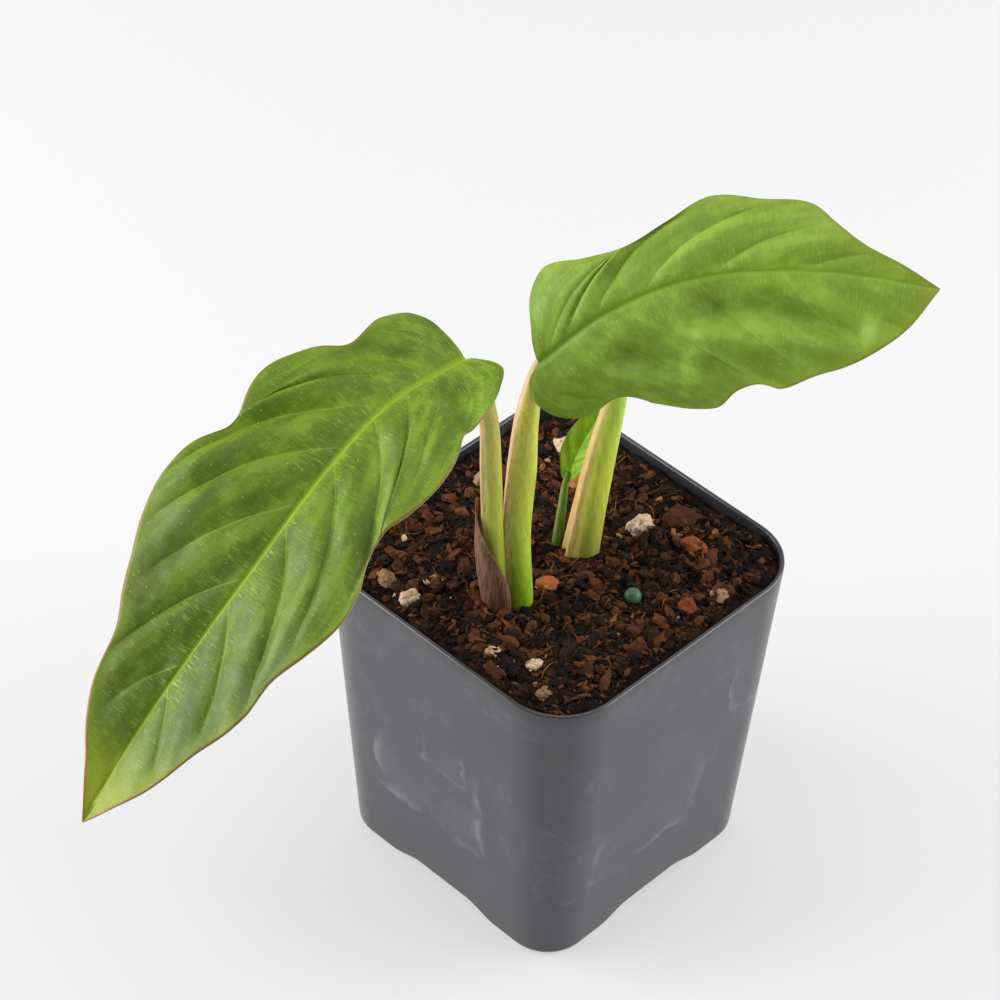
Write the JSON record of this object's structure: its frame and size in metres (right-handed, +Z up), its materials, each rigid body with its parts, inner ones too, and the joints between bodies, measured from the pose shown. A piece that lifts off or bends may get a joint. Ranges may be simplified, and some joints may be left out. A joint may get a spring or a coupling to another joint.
{
  "type": "potted peace lily",
  "caption": "Young peace lily with broad quilted leaves on upright stalks, rooted in potting mix in a small square nursery pot.",
  "frame": {"origin": "centre of the pot's foot, on the surface that it stands on", "axes": "+Z up out of the pot, X and Y along the pot's sides; the large left leaf reaches out along -Y"},
  "size_m": [0.074, 0.1384, 0.1293],
  "materials": {
    "pot_plastic": "semi-gloss moulded polystyrene with faint dried water marks",
    "potting_mix": "damp crumbly peat and coir",
    "root": "waxy pale root skin",
    "petiole": "smooth waxy green stalk, pink-tan along its edges",
    "leaf_blade": "satin living leaf with sunken veins",
    "dried_sheath": "dry papery purple-brown membrane",
    "pumice": "rough porous off-white stone",
    "bark": "rough orange-brown bark",
    "fertiliser_prill": "smooth coated bead"
  },
  "bodies": {
    "root": {"pot": "pot_plastic", "soil": "potting_mix", "rhizome_and_roots": "root", "petiole_left": "petiole", "petiole_right": "petiole", "petiole_back": "petiole", "petiole_young": "petiole", "blade_left": "leaf_blade", "blade_right": "leaf_blade", "blade_back": "leaf_blade", "blade_young": "leaf_blade", "dried_sheath": "dried_sheath", "pumice_1": "pumice", "pumice_2": "pumice", "pumice_3": "pumice", "pumice_4": "pumice", "pumice_5": "pumice", "pumice_6": "pumice", "pumice_7": "pumice", "pumice_8": "pumice", "pumice_9": "pumice", "bark_chip_1": "bark", "bark_chip_2": "bark", "bark_chip_3": "bark", "bark_chip_4": "bark", "bark_chip_5": "bark", "bark_chip_6": "bark", "bark_chip_7": "bark", "bark_chip_8": "bark", "fertiliser_prill": "fertiliser_prill"}
  },
  "joints": []
}
